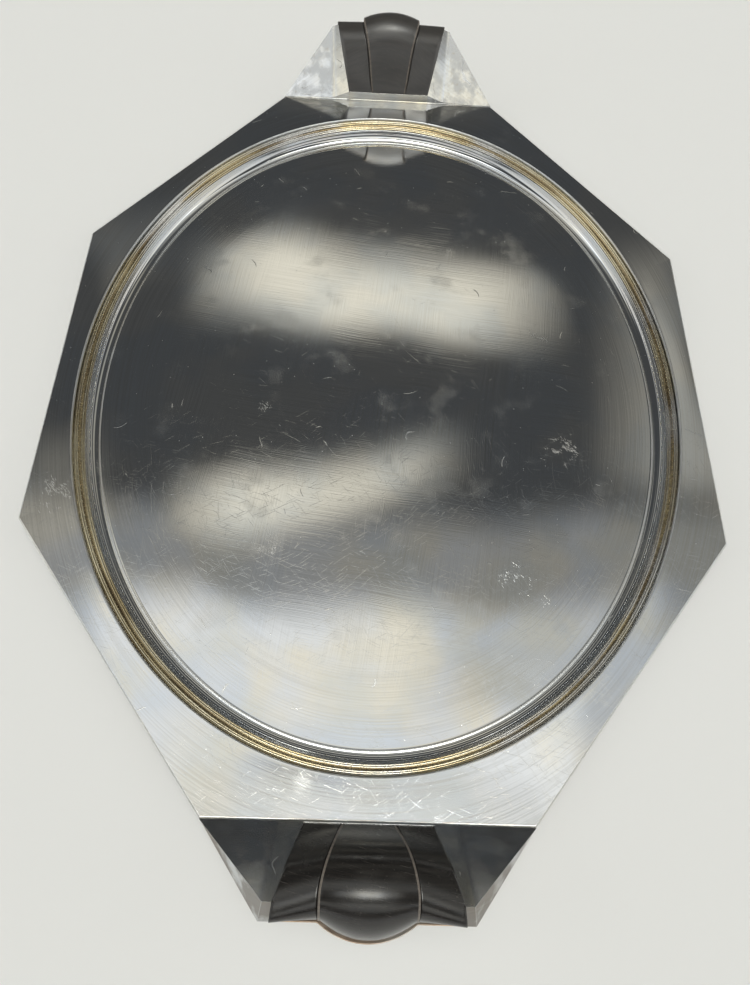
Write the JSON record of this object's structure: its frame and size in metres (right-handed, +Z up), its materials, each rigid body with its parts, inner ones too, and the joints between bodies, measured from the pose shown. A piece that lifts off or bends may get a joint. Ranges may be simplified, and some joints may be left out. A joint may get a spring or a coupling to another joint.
{
  "type": "serving tray",
  "caption": "Octagonal silver-plated serving tray with a shallow oval well, a reeded border and raised ebonised wood grips on folded metal horns.",
  "frame": {"origin": "under the middle of the well, on the underside that stands on the table", "axes": "+Z up; +Y along the tray's length, towards the back handle; +X across, to the right"},
  "size_m": [0.374, 0.5608, 0.0584],
  "materials": {
    "silver_plate": "worn, scratched silver plate over a copper alloy",
    "gilt_brass": "polished brass tone, silver worn through",
    "ebonised_wood": "satin, near black",
    "screw_steel": "plain steel"
  },
  "bodies": {
    "root": {"tray_plate": "silver_plate", "reeded_border": "gilt_brass", "back_bracket": "silver_plate", "back_underplate": "silver_plate", "back_grip_centre": "ebonised_wood", "back_grip_left": "ebonised_wood", "back_grip_right": "ebonised_wood", "back_grip_screws": "screw_steel", "front_bracket": "silver_plate", "front_underplate": "silver_plate", "front_grip_centre": "ebonised_wood", "front_grip_left": "ebonised_wood", "front_grip_right": "ebonised_wood", "front_grip_screws": "screw_steel"}
  },
  "joints": []
}
